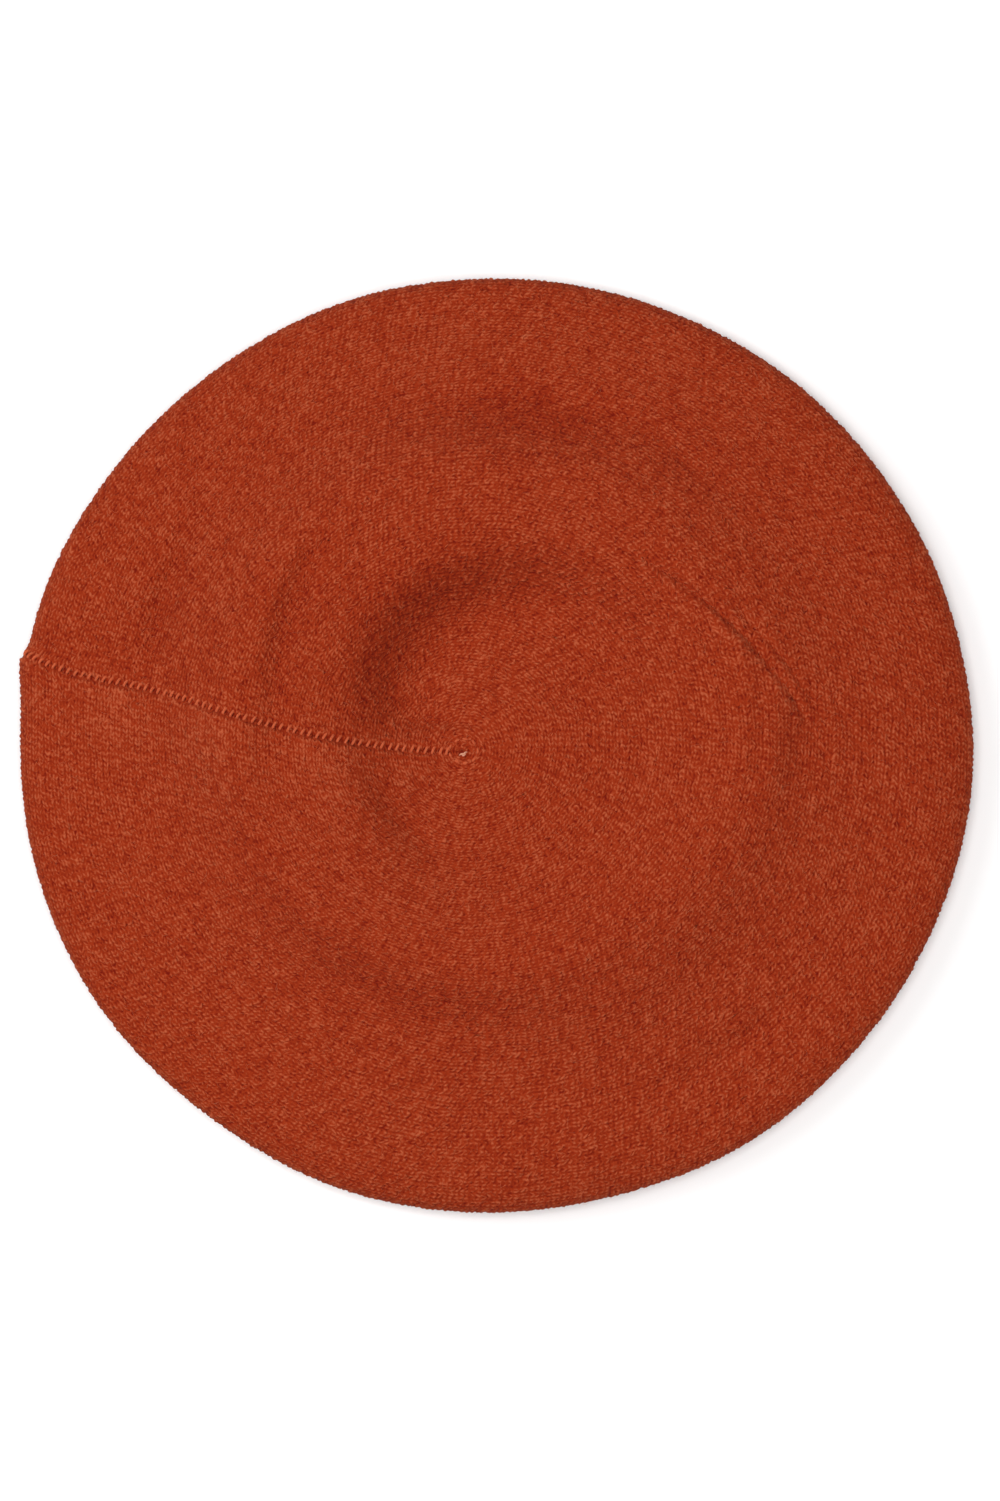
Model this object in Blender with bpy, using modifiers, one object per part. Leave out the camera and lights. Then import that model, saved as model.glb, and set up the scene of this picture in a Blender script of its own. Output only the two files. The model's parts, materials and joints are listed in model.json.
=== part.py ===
"""A knitted beret lying crown up on a flat surface.

Metres, +Z up. The origin is the centre of the footprint, on the surface that the beret rests on. The back,
with the radial seam and the care label, is towards -X.
"""

from math import atan2, cos, exp, hypot, pi, radians, sin, sqrt

import bmesh
import bpy
from mathutils import Matrix, Vector

# Driving dimensions.
LENGTH = 0.286  # across the rim, front to back
WIDTH = 0.281  # across the rim, side to side
KNIT = 0.0018  # thickness of the knitted fabric
GAP = 0.0004  # clearance between two pieces that touch
THREAD_RADIUS = 0.0004  # plied sewing yarn

RIM_HEIGHT = 0.0075  # middle of the fabric where it turns over at the rim
DOME_RISE = 0.0175  # the soft dome above the rim
DOME_POWER = 2.5
BAND_RISE = 0.0075  # how far the headband underneath lifts the crown
BAND_RISE_RADIUS = 0.09
BAND_RISE_SPREAD = 0.009
DIP_DEPTH = 0.0095  # how far the unsupported middle of the crown sinks
DIP_RADIUS = 0.046
UNDER_HEIGHT = 0.0031  # lowest run of the underside, just inside the rim
UNDER_RADIUS = 0.133

MOUTH_RADIUS = 0.0818  # inner face of the headband
BAND_THICKNESS = 0.0064  # both leaves and the channel between them
BAND_HEIGHT = 0.022
BAND_CORNER = 0.0016  # rounding of the folded bottom edge
TAPE_THICKNESS = 0.001
TAPE_WIDTH = 0.008

SETTLE = 0.007  # the crown and the head opening lie this far to the side of the rim's middle
SETTLE_RADIUS = 0.09  # and the fabric beyond this radius takes up the difference

SEAM_ANGLE = radians(169)  # where the radial seam crosses the rim
POLE = (-0.0099, -0.0091)  # the knitted centre, from the middle of the crown
SEAM_RUN = 0.128  # from the knitted centre to the rim, towards the back
SEAM_RISE = 0.036  # and how far the seam swings to the side on the way
SEAM_POWER = 1.8
SEAM_START = 0.02  # the seam is open on this much of the crown's middle, inside the gather

GATHER = 0.0042  # radius of the ring of stitches that draws the centre closed

LABEL_WIDTH = 0.025
LABEL_DROP = 0.0172
LABEL_LAYER = 0.00035  # one layer of woven label
LABEL_THICKNESS = 0.001  # both layers and the air between them
LABEL_GAP = 0.00185  # from the headband's inner face at the back to the middle of the label

ROUND_STEPS = 56  # facets round every full ring

RIM_RADIUS = LENGTH / 2 - KNIT / 2
BAND_OUTSIDE = MOUTH_RADIUS + BAND_THICKNESS
EDGE_RADIUS = BAND_OUTSIDE + GAP  # the underside's raw edge, linked to the headband
EDGE_HEIGHT = BAND_HEIGHT - 0.0014
OVAL = WIDTH / LENGTH


# Shared shapes.


def material(name, colour, roughness):
    """A Principled material. The colour is linear RGB."""
    made = bpy.data.materials.new(name)
    made.use_nodes = True
    shader = made.node_tree.nodes["Principled BSDF"]
    shader.inputs["Base Color"].default_value = (*colour, 1.0)
    shader.inputs["Roughness"].default_value = roughness
    shader.inputs["Metallic"].default_value = 0.0
    return made


def place(name, data, surface, parent=None):
    """Links a new object for this mesh or curve into the beret's collection."""
    piece = bpy.data.objects.new(name, data)
    bpy.data.collections["beret"].objects.link(piece)
    data.materials.append(surface)
    piece.parent = parent
    return piece


def profile_mesh(name, points, closed):
    """A mesh of edges through (radius, height) points, ready to be turned about Z."""
    mesh = bpy.data.meshes.new(name)
    count = len(points)
    edges = [(i, i + 1) for i in range(count - 1)]
    if closed:
        edges.append((count - 1, 0))
    mesh.from_pydata([(radius, 0, height) for radius, height in points], edges, [])
    return mesh


def turned(name, points, surface, closed=True, sweep=2 * pi, start=0.0):
    """Turns a profile about Z with a Screw modifier, then draws the circle out to the beret's oval."""
    guide = bpy.data.objects.new(name + "_profile", profile_mesh(name, points, closed))
    bpy.context.scene.collection.objects.link(guide)
    screw = guide.modifiers.new("Turn", "SCREW")
    screw.angle = sweep
    screw.steps = ROUND_STEPS
    screw.render_steps = ROUND_STEPS
    screw.use_merge_vertices = sweep == 2 * pi
    screw.merge_threshold = 0.00001
    evaluated = guide.evaluated_get(bpy.context.evaluated_depsgraph_get())
    mesh = bpy.data.meshes.new_from_object(evaluated)
    bpy.data.objects.remove(guide)
    mesh.transform(Matrix.Diagonal((1, OVAL, 1, 1)) @ Matrix.Rotation(start, 4, "Z"))
    for vertex in mesh.vertices:
        vertex.co.xy = settle(*vertex.co.xy)
    mesh.name = name
    mesh.shade_smooth()
    mesh.set_sharp_from_angle(angle=radians(40))
    return place(name, mesh, surface)


def thicken(piece, thickness):
    shell = piece.modifiers.new("Thickness", "SOLIDIFY")
    shell.thickness = thickness
    shell.offset = 0.0
    shell.use_even_offset = True


def thread(name, points, surface, radius=THREAD_RADIUS, sides=2, ring=False, parent=None):
    """A round thread through the points: an open one has filled caps, and a ring meets itself."""
    curve = bpy.data.curves.new(name, "CURVE")
    curve.dimensions = "3D"
    curve.bevel_depth = radius
    curve.bevel_resolution = sides
    curve.use_fill_caps = not ring
    line = curve.splines.new("POLY")
    line.points.add(len(points) - 1)
    for knot, point in zip(line.points, points):
        knot.co = (*point, 1)
    line.use_cyclic_u = ring
    return place(name, curve, surface, parent)


def torus(name, radius, height, surface):
    """A thread that runs all the way round at one height."""
    angles = [2 * pi * i / ROUND_STEPS for i in range(ROUND_STEPS)]
    points = [(*settle(radius * cos(a), OVAL * radius * sin(a)), height) for a in angles]
    return thread(name, points, surface, sides=1, ring=True)


# The beret's own surface.


def settle(x, y):
    """Moves a point of the crown or the head opening to where it lies: the rim stays, the middle shifts."""
    beyond = (hypot(x, y) - SETTLE_RADIUS) / (RIM_RADIUS - SETTLE_RADIUS)
    ease = min(1.0, max(0.0, beyond))
    return x, y + SETTLE * (1 - ease**2 * (3 - 2 * ease))


def crown_height(radius):
    """Middle of the fabric over the top: a soft dome, lifted over the headband, with a sunken middle."""
    dome = sqrt(max(0.0, 1 - (radius / RIM_RADIUS) ** DOME_POWER))
    plateau = 1 / (1 + exp((radius - BAND_RISE_RADIUS) / BAND_RISE_SPREAD))
    dip = exp(-((radius / DIP_RADIUS) ** 4))
    return RIM_HEIGHT + DOME_RISE * dome + BAND_RISE * plateau - DIP_DEPTH * dip


def under_height(radius):
    """Middle of the fabric under the beret, from its lowest run up to the headband's top."""
    along = (UNDER_RADIUS - radius) / (UNDER_RADIUS - EDGE_RADIUS)
    return UNDER_HEIGHT + (EDGE_HEIGHT - UNDER_HEIGHT) * along**2 * (3 - 2 * along)


def body_profile(over=14, turn=5, under=6):
    """(radius, height) points from the middle of the crown, over the rim and in to the head opening."""
    lean = [pi / 2 * i / over for i in range(over + 1)]
    top = [(RIM_RADIUS * sin(a), crown_height(RIM_RADIUS * sin(a))) for a in lean]
    fold = RIM_RADIUS - UNDER_RADIUS
    drop = RIM_HEIGHT - UNDER_HEIGHT
    quarter = [pi / 2 * i / turn for i in range(1, turn)]
    rim = [(UNDER_RADIUS + fold * cos(a), RIM_HEIGHT - drop * sin(a)) for a in quarter]
    inward = [UNDER_RADIUS + (EDGE_RADIUS - UNDER_RADIUS) * i / under for i in range(under + 1)]
    return top + rim + [(radius, under_height(radius)) for radius in inward]


def seam_plan(along):
    """The radial seam on the crown, before it settles: 0 is the knitted centre and 1 is the rim."""
    return POLE[0] - SEAM_RUN * along, POLE[1] + SEAM_RISE * along**SEAM_POWER


def seam_angle(radius):
    """The direction in which the radial seam lies at this radius, found by halving."""
    low, high = 0.0, 1.05
    for _ in range(24):
        middle = (low + high) / 2
        x, y = seam_plan(middle)
        if hypot(x, y / OVAL) < radius:
            low = middle
        else:
            high = middle
    return atan2(y / OVAL, x)


def on_crown(x, y, proud):
    """A point this far above the fabric's upper face, from its place on the crown before it settles."""
    height = crown_height(hypot(x, y / OVAL)) + KNIT / 2 + proud
    return Vector((*settle(x, y), height))


# The pieces.


def knitted_body(wool):
    piece = turned("knitted_body", body_profile(), wool, closed=False)
    thicken(piece, KNIT)
    return piece


def headband(wool):
    """A strip folded in a U: two standing leaves, a flat fold to rest on and an open channel between."""
    low, high = MOUTH_RADIUS, BAND_OUTSIDE
    bend = [pi / 2 * i / 4 for i in range(5)]
    corner = BAND_CORNER
    outer = [(high - corner * (1 - cos(a)), corner * (1 - sin(a))) for a in bend]
    inner = [(low + corner * (1 - sin(a)), corner * (1 - cos(a))) for a in bend]
    channel = [
        (low + KNIT, BAND_HEIGHT),
        (low + KNIT, KNIT),
        (high - KNIT, KNIT),
        (high - KNIT, BAND_HEIGHT),
    ]
    return turned("headband", [(high, BAND_HEIGHT), *outer, *inner, (low, BAND_HEIGHT), *channel], wool)


def elastic_tape(woven):
    """A tape ring standing in the channel against the outer leaf, its cut ends butted at the back."""
    middle = BAND_OUTSIDE - KNIT - GAP - TAPE_THICKNESS / 2
    foot = KNIT + 1.5 * GAP
    slit = 0.0008 / middle
    strip = [(middle, foot + TAPE_WIDTH), (middle, foot)]
    piece = turned("elastic_tape", strip, woven, False, 2 * pi - slit, pi + slit / 2)
    thicken(piece, TAPE_THICKNESS)
    return piece


def elastic_joint_stitch(yarn, strokes=6):
    """A zigzag across the tape's butted ends, on the tape's inner face."""
    radius = 0.00028
    face = -(BAND_OUTSIDE - KNIT - 2 * GAP - TAPE_THICKNESS - radius)
    foot = KNIT + 1.5 * GAP + 0.001
    rise = (TAPE_WIDTH - 0.002) / strokes
    points = [(*settle(face, 0.0024 * (-1) ** i), foot + rise * i) for i in range(strokes + 1)]
    return thread("elastic_joint_stitch", points, yarn, radius)


def band_linking_thread(yarn):
    """The linked seam along the top of the headband, on the hidden side."""
    height = BAND_HEIGHT + GAP + THREAD_RADIUS
    return torus("band_linking_thread", BAND_OUTSIDE + GAP / 2, height, yarn)


def band_hem_stitch(yarn):
    """The row of stitches near the top of the headband's inner face."""
    height = BAND_HEIGHT - 0.0009
    return torus("band_hem_stitch", MOUTH_RADIUS - GAP - THREAD_RADIUS, height, yarn)


def radial_seam_thread(yarn):
    """The seam from the gathered centre, over the rim and under to the head opening."""
    profile = body_profile(over=24, turn=7, under=7)
    proud = KNIT / 2 + GAP + THREAD_RADIUS
    points = []
    for before, here, after in zip(profile, profile[1:], profile[2:]):
        if here[0] < SEAM_START:
            continue
        run = Vector(after) - Vector(before)
        out = Vector((-run.y, run.x)).normalized() * proud
        radius, height = here[0] + out.x, here[1] + out.y
        over_top = here[1] > RIM_HEIGHT
        angle = seam_angle(min(radius, RIM_RADIUS)) if over_top else SEAM_ANGLE
        points.append((*settle(radius * cos(angle), OVAL * radius * sin(angle)), height))
    return thread("radial_seam_thread", points, yarn)


def centre_gather_thread(yarn, stitches=10):
    """A ring of running stitches round the knitted centre."""
    angles = [2 * pi * i / stitches for i in range(stitches)]
    proud = GAP + THREAD_RADIUS
    points = [on_crown(POLE[0] + GATHER * cos(a), POLE[1] + GATHER * sin(a), proud) for a in angles]
    return thread("centre_gather_thread", points, yarn, ring=True)


def centre_knot(yarn):
    """A small tied knot at the knitted centre."""
    bm = bmesh.new()
    bmesh.ops.create_uvsphere(bm, u_segments=12, v_segments=8, radius=0.0014)
    bmesh.ops.scale(bm, vec=(1.25, 1, 0.75), verts=bm.verts)
    mesh = bpy.data.meshes.new("centre_knot")
    bm.to_mesh(mesh)
    bm.free()
    mesh.shade_smooth()
    piece = place("centre_knot", mesh, yarn)
    piece.location = on_crown(*POLE, GAP + 0.0012)
    return piece


def care_label(woven, hinge):
    """A strip folded into a loop, its two ends together at the top, hanging from the hinge line."""
    half = LABEL_THICKNESS / 2
    inner = half - LABEL_LAYER
    bottom = -LABEL_DROP + half
    arc = [pi * i / 6 for i in range(7)]
    outside = [(half * cos(a), bottom - half * sin(a)) for a in arc]
    inside = [(-inner * cos(a), bottom - inner * sin(a)) for a in arc]
    outline = [(half, 0), *outside, (-half, 0), (-inner, -0.0012), *inside, (inner, -0.0012)]
    bm = bmesh.new()
    corners = [bm.verts.new((x, -LABEL_WIDTH / 2, z)) for x, z in outline]
    swept = bmesh.ops.extrude_face_region(bm, geom=[bm.faces.new(corners)])["geom"]
    moved = [item for item in swept if isinstance(item, bmesh.types.BMVert)]
    bmesh.ops.translate(bm, vec=(0, LABEL_WIDTH, 0), verts=moved)
    bmesh.ops.recalc_face_normals(bm, faces=bm.faces)
    mesh = bpy.data.meshes.new("care_label")
    bm.to_mesh(mesh)
    bm.free()
    return place("care_label", mesh, woven, hinge)


def care_label_stitch(yarn, hinge):
    """A bar of stitches just above the label's top edge, against the headband."""
    height = 2 * GAP + THREAD_RADIUS
    half = LABEL_WIDTH / 2
    return thread("care_label_stitch", [(0, -half, height), (0, half, height)], yarn, parent=hinge)


def main():
    for old in list(bpy.data.objects):
        bpy.data.objects.remove(old)
    bpy.context.scene.collection.children.link(bpy.data.collections.new("beret"))

    wool = material("rust_wool_knit", (0.333, 0.038, 0.012), 0.9)
    yarn = material("rust_yarn", (0.36, 0.055, 0.02), 0.85)
    elastic = material("woven_elastic", (0.62, 0.6, 0.56), 0.8)
    label = material("woven_label", (0.75, 0.68, 0.56), 0.7)

    knitted_body(wool)
    headband(wool)
    elastic_tape(elastic)
    elastic_joint_stitch(elastic)
    band_linking_thread(yarn)
    band_hem_stitch(yarn)
    radial_seam_thread(yarn)
    centre_gather_thread(yarn)
    centre_knot(yarn)

    hinge = bpy.data.objects.new("label_hinge", None)
    bpy.data.collections["beret"].objects.link(hinge)
    hinge.location = (-MOUTH_RADIUS + LABEL_GAP, SETTLE, BAND_HEIGHT - 0.003)
    care_label(label, hinge)
    care_label_stitch(yarn, hinge)


main()
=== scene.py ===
import json
from math import cos, pi, radians, sin

import bpy
import numpy as np
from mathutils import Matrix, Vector


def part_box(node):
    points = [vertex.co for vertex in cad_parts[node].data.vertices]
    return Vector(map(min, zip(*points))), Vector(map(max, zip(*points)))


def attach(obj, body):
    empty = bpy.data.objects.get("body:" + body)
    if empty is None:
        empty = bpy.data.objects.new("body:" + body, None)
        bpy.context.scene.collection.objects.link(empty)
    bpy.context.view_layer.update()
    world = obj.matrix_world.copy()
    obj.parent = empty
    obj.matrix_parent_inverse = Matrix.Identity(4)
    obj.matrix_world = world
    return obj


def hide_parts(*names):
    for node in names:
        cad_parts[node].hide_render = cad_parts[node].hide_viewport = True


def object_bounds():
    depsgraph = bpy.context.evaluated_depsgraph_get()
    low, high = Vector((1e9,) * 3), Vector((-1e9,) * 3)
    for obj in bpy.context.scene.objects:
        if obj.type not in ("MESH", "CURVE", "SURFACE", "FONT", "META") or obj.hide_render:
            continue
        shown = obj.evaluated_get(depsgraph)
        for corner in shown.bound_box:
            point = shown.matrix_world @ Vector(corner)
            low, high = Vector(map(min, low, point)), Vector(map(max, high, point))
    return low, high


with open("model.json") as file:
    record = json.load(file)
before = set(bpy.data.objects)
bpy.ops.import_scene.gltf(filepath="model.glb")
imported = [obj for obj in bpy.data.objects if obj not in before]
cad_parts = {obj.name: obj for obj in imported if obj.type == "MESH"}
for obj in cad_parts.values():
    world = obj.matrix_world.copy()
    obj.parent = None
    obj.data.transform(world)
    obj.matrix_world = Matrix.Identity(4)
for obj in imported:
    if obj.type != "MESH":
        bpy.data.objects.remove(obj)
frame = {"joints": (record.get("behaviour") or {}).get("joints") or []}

cad_low, cad_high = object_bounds()
body_low, body_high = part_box("knitted_body")
band_low, band_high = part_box("headband")
hem_low, hem_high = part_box("band_hem_stitch")
link_low, link_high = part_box("band_linking_thread")
tape_low, tape_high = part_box("elastic_tape")
label_low, label_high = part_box("care_label")

rng = np.random.default_rng(7)
LATTICE = rng.normal(0.0, 1.0, (509, 509))  # the heights that lumps() runs between

# ---------------------------------------------------------------- dimensions, metres

KNIT = 0.0018  # thickness of the knitted fabric
RIM = body_high.x - KNIT / 2  # middle of the fabric at the rim, towards +X
OVAL = (body_high.y - body_low.y) / (body_high.x - body_low.x)
SETTLE = (band_high.y + band_low.y) / 2  # the crown and head opening lie this far to one side
SETTLE_FROM = 0.09  # and the fabric beyond this radius takes up the difference
BAND_OUT = band_high.x
BAND_IN = hem_high.x + 0.0004
BAND_TOP = band_high.z
MOUTH = BAND_OUT + 0.0004  # edge of the underside
MOUTH_HEIGHT = BAND_TOP - 0.0014

RIM_HEIGHT = 0.0075  # middle of the fabric where it turns over at the rim
DOME_RISE, DOME_POWER, DOME_EDGE = 0.0140, 2.5, 0.3
BAND_RISE, BAND_RISE_RADIUS, BAND_RISE_SPREAD = 0.0108, 0.09, 0.0085  # the crown, lifted by the headband
UNDER_HEIGHT, UNDER_RADIUS = 0.0031, 0.133  # lowest run of the underside
DIP_DEPTH = 0.0105  # how far the unsupported middle sinks
DIP_CENTRE, DIP_RADIUS = (0.005, -0.002), 0.052
DIP_STEEPEST, DIP_TUCKED = radians(130), radians(195)  # bearings of its steepest wall and tightest curve
CREASE_LIMIT = 0.0026  # the crown never sinks deeper than this into a crease
POLE = (-0.0099, -0.0091)  # the knitted centre, from the middle of the crown
SEAM_RUN, SEAM_RISE, SEAM_POWER = 0.128, 0.036, 1.8  # the radial seam's course from it to the rim

WALES_OVER, WALES_UNDER = 74, 26  # columns of stitches from the centre to the rim, and under it
WIDENING = 0.20  # how much wider, as a logarithm, the outermost column is than the first
COURSE = 0.00163  # height of a stitch, along its column
GORES = 10  # every column has a multiple of this many stitches
ROWS_PER_WALE = 4  # rings of points across a column
CHEVRON = 0.8  # how far a loop's legs lean, in stitches
RELIEF = 0.00075  # from the groove between two columns to the top of a loop
WANDER = 0.00022  # how far a column strays from its place over many stitches
NUDGE = 0.00014  # and how far one stitch does
PURL_DEPTH = 0.00055  # of the dimples on the hidden side
INSIDE_SEEN = 0.104  # the hidden side shows through the head opening this far from the centre
SEAM_PITCH = 0.0023  # of the chain stitches along the radial seam
SEAM_PULL = 0.00062  # depth of the valley that they pull into the fabric
SEAM_ROLL = 0.00038  # height of the fabric rolled up on both sides of it
CREASE_SHADE, SEAM_SHADE = 100, 300  # painted shade: how much darker the yarn is coloured for each metre of a crease's or valley's depth
RIBS = 126  # round the headband
RIB_DEPTH = 0.0007
LABEL_LAYER = 0.00016  # thickness of one layer of the label


# ---------------------------------------------------------------- small helpers


def ease(x):
    """0 to 1 with a gentle start and end."""
    x = np.clip(x, 0.0, 1.0)
    return x * x * (3 - 2 * x)


def hump(x):
    """1 at zero, falling to nothing on both sides."""
    return np.exp(-(x**2))


def settle(x, y):
    """Where a point of the crown or head opening lies: the rim stays and the middle shifts."""
    beyond = (np.hypot(x, y) - SETTLE_FROM) / (RIM - SETTLE_FROM)
    return x, y + SETTLE * (1 - ease(beyond))


def round_opening(radius, angle, height):
    """Points round the head opening."""
    x, y = radius * np.cos(angle), OVAL * radius * np.sin(angle) + SETTLE
    return np.stack([x, y, height + 0 * angle], -1)


def beside(path):
    """Unit direction to the left of a flat path, at each of its points."""
    run = np.gradient(path, axis=0)
    left = np.stack([-run[:, 1], run[:, 0]], 1)
    return left / np.linalg.norm(left, axis=1, keepdims=True)


def new_object(name, vertices, faces, material, body, replaces=()):
    """A smooth mesh piece from vertices and a list of face-index arrays, riding on a body."""
    mesh = bpy.data.meshes.new(name)
    counts = np.concatenate([np.full(len(f), f.shape[1]) for f in faces]).astype(np.int32)
    loops = np.concatenate([f.ravel() for f in faces]).astype(np.int32)
    starts = np.concatenate([[0], np.cumsum(counts)[:-1]]).astype(np.int32)
    mesh.vertices.add(len(vertices))
    mesh.vertices.foreach_set("co", np.asarray(vertices, np.float32).ravel())
    mesh.loops.add(len(loops))
    mesh.loops.foreach_set("vertex_index", loops)
    mesh.polygons.add(len(counts))
    mesh.polygons.foreach_set("loop_start", starts)
    mesh.update(calc_edges=True)
    mesh.polygons.foreach_set("use_smooth", np.ones(len(counts), bool))
    mesh.validate()
    mesh.materials.append(material)
    piece = bpy.data.objects.new(name, mesh)
    bpy.context.scene.collection.objects.link(piece)
    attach(piece, body)
    if replaces:
        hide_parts(*replaces)
    return piece


def lay_out(piece, across, up):
    """Gives every face corner a place on a texture, from values for each corner."""
    layer = piece.data.uv_layers.new(name="OFBake")
    layer.data.foreach_set("uv", np.stack([across, up], 1).astype(np.float32).ravel())


def corners(piece):
    """(vertex of each face corner, first vertex of the corner's face)."""
    mesh = piece.data
    vertex = np.empty(len(mesh.loops), np.int32)
    mesh.loops.foreach_get("vertex_index", vertex)
    sides = np.empty(len(mesh.polygons), np.int32)
    mesh.polygons.foreach_get("loop_total", sides)
    starts = np.concatenate([[0], np.cumsum(sides)[:-1]])
    return vertex, np.repeat(vertex[starts], sides)


def positions(piece):
    """One row of coordinates for each vertex."""
    flat = np.empty(len(piece.data.vertices) * 3, np.float32)
    piece.data.vertices.foreach_get("co", flat)
    return flat.reshape(-1, 3)


def lay_out_discs(piece, disc):
    """One large disc for the top and three small ones for the hidden sides. disc is 0 to 3 by vertex."""
    vertex, first = corners(piece)
    place = positions(piece)[vertex, :2] / (2.1 * RIM) + 0.5
    which = disc[first]
    size = np.array([0.70, 0.28, 0.28, 0.28])[which]
    left = np.array([0.005, 0.715, 0.715, 0.715])[which]
    bottom = np.array([0.005, 0.01, 0.31, 0.61])[which]
    lay_out(piece, left + size * place[:, 0], bottom + size * place[:, 1])


def set_values(piece, name, values):
    """Stores one number for each vertex, which the material reads."""
    layer = piece.data.attributes.new(name, "FLOAT", "POINT")
    layer.data.foreach_set("value", np.asarray(values, np.float32))


# ---------------------------------------------------------------- materials


class Nodes:
    """A short way to wire a material's nodes."""

    def __init__(self, name):
        self.material = bpy.data.materials.new(name)
        self.material.use_nodes = True
        self.tree = self.material.node_tree
        self.shader = self.tree.nodes["Principled BSDF"]

    def add(self, kind, inputs=None, **settings):
        """Adds a node. inputs gives its sockets a value or another node's result."""
        node = self.tree.nodes.new("ShaderNode" + kind)
        for key, value in settings.items():
            setattr(node, key, value)
        for key, value in (inputs or {}).items():
            self.put(node.inputs[key], value)
        return node

    def put(self, socket, value):
        if isinstance(value, bpy.types.NodeSocket):
            self.tree.links.new(value, socket)
        else:
            socket.default_value = value

    def shaded(self, inputs):
        """Gives the shader's inputs a value or another node's result, and returns the finished material."""
        for key, value in inputs.items():
            self.put(self.shader.inputs[key], value)
        return self.material

    def noise(self, scale, detail=3.0, roughness=0.55):
        inputs = {"Scale": scale, "Detail": detail, "Roughness": roughness, "Vector": self.position}
        return self.add("TexNoise", inputs).outputs["Fac"]

    def ramp(self, value, low, high, to_low=0.0, to_high=1.0):
        inputs = {"Value": value, "From Min": low, "From Max": high, "To Min": to_low, "To Max": to_high}
        return self.add("MapRange", inputs).outputs["Result"]

    def blend(self, factor, a, b):
        node = self.add("Mix", data_type="RGBA")
        self.put(node.inputs[0], factor)
        self.put(node.inputs[6], a)
        self.put(node.inputs[7], b)
        return node.outputs[2]

    def total(self, terms, start):
        """start plus each value times its weight."""
        for value, weight in terms:
            node = self.add("Math", {0: value, 1: weight, 2: start}, operation="MULTIPLY_ADD")
            start = node.outputs[0]
        return start

    @property
    def position(self):
        return self.add("TexCoord").outputs["Object"]

    def attribute(self, name):
        return self.add("Attribute", attribute_name=name).outputs["Fac"]


WOOL_DEEP = (0.170, 0.0060, 0.0008, 1)
WOOL_MID = (0.298, 0.0262, 0.0038, 1)
WOOL_PALE = (0.455, 0.0900, 0.0340, 1)


def wool(name, brightness=1.0, pale=0.0):
    """Soft wool yarn: deep between the loops, partly painted shade, pale on their crests, partly a painted
    highlight, every stitch a little different, fibres catching light.
    """

    def shade(colour):
        return tuple(c * brightness for c in colour[:3]) + (1,)

    n = Nodes(name)
    fibres = n.noise(3600.0, 2.0, 0.6)
    speckle = n.noise(1500.0, 2.0, 0.6)
    # The loft darkens the colour in the pits between the loops and lightens it on their crests: painted shade
    # and painted highlight over the yarn's own colour. The tone attribute brings random dye, with painted
    # shade in creases and a painted highlight on puffs.
    tone = n.total([
        (n.attribute("loft"), 1.28),
        (n.attribute("tone"), 0.35),
        (fibres, 0.30),
        (speckle, 0.90),
        (n.noise(380.0, 2.0), 0.04),
        (n.noise(70.0, 3.0), 0.08),
    ], -1.052 + pale)
    colour = n.blend(n.ramp(tone, 0.0, 0.5), shade(WOOL_DEEP), shade(WOOL_MID))
    colour = n.blend(n.ramp(tone, 0.58, 1.12), colour, shade(WOOL_PALE))
    fuzz = n.add("Bump", {"Strength": 0.7, "Distance": 0.00022, "Height": fibres})
    grain = n.add("Bump", {"Strength": 0.8, "Distance": 0.0004, "Height": speckle, "Normal": fuzz.outputs[0]})
    return n.shaded({
        "Base Color": colour,
        "Roughness": n.ramp(fibres, 0.3, 0.7, 0.84, 0.97),
        "Sheen Weight": 0.06,
        "Sheen Roughness": 0.5,
        "Sheen Tint": (1.0, 0.50, 0.28, 1),
        "Specular IOR Level": 0.12,
        "Normal": grain.outputs[0],
    })


def loose_fibre(name, colour):
    """Wool of one colour, for ends too thin to show what spun yarn does."""
    return Nodes(name).shaded({
        "Base Color": colour,
        "Roughness": 0.7,
        "Sheen Weight": 0.05,
        "Specular IOR Level": 0.2,
    })


def woven(name, pale, deep, thread, shine):
    """A close plain weave, with one set of threads across the other."""
    n = Nodes(name)
    waves = {"Vector": n.position, "Scale": thread, "Distortion": 0.4}
    warp = n.add("TexWave", waves, bands_direction="Y").outputs["Fac"]
    weft = n.add("TexWave", waves, bands_direction="Z").outputs["Fac"]
    weave = n.add("Math", {0: warp, 1: weft}, operation="MULTIPLY").outputs[0]
    cloudy = n.ramp(n.noise(120.0), 0.3, 0.7, 0.0, 0.35)
    colour = n.blend(n.ramp(weave, 0.0, 0.6), deep, pale)
    colour = n.blend(cloudy, colour, deep)
    bump = n.add("Bump", {"Strength": 0.6, "Distance": 0.00015, "Height": weave})
    return n.shaded({
        "Base Color": colour,
        "Roughness": n.ramp(weave, 0, 1, 0.8, shine),
        "Sheen Weight": 0.15,
        "Normal": bump.outputs[0],
    })


# ---------------------------------------------------------------- the beret's surface


def crown_height(x, y):
    """Middle of the fabric over the top, at a place on the crown before it settles."""
    radius = np.hypot(x, y / OVAL)
    dome = np.clip(1 - (radius / RIM) ** DOME_POWER, 0, None) ** DOME_EDGE
    rise = 1 / (1 + np.exp((radius - BAND_RISE_RADIUS) / (BAND_RISE_SPREAD * (1 + 0.22 * x / RIM))))
    return RIM_HEIGHT + DOME_RISE * dome + BAND_RISE * rise


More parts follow.
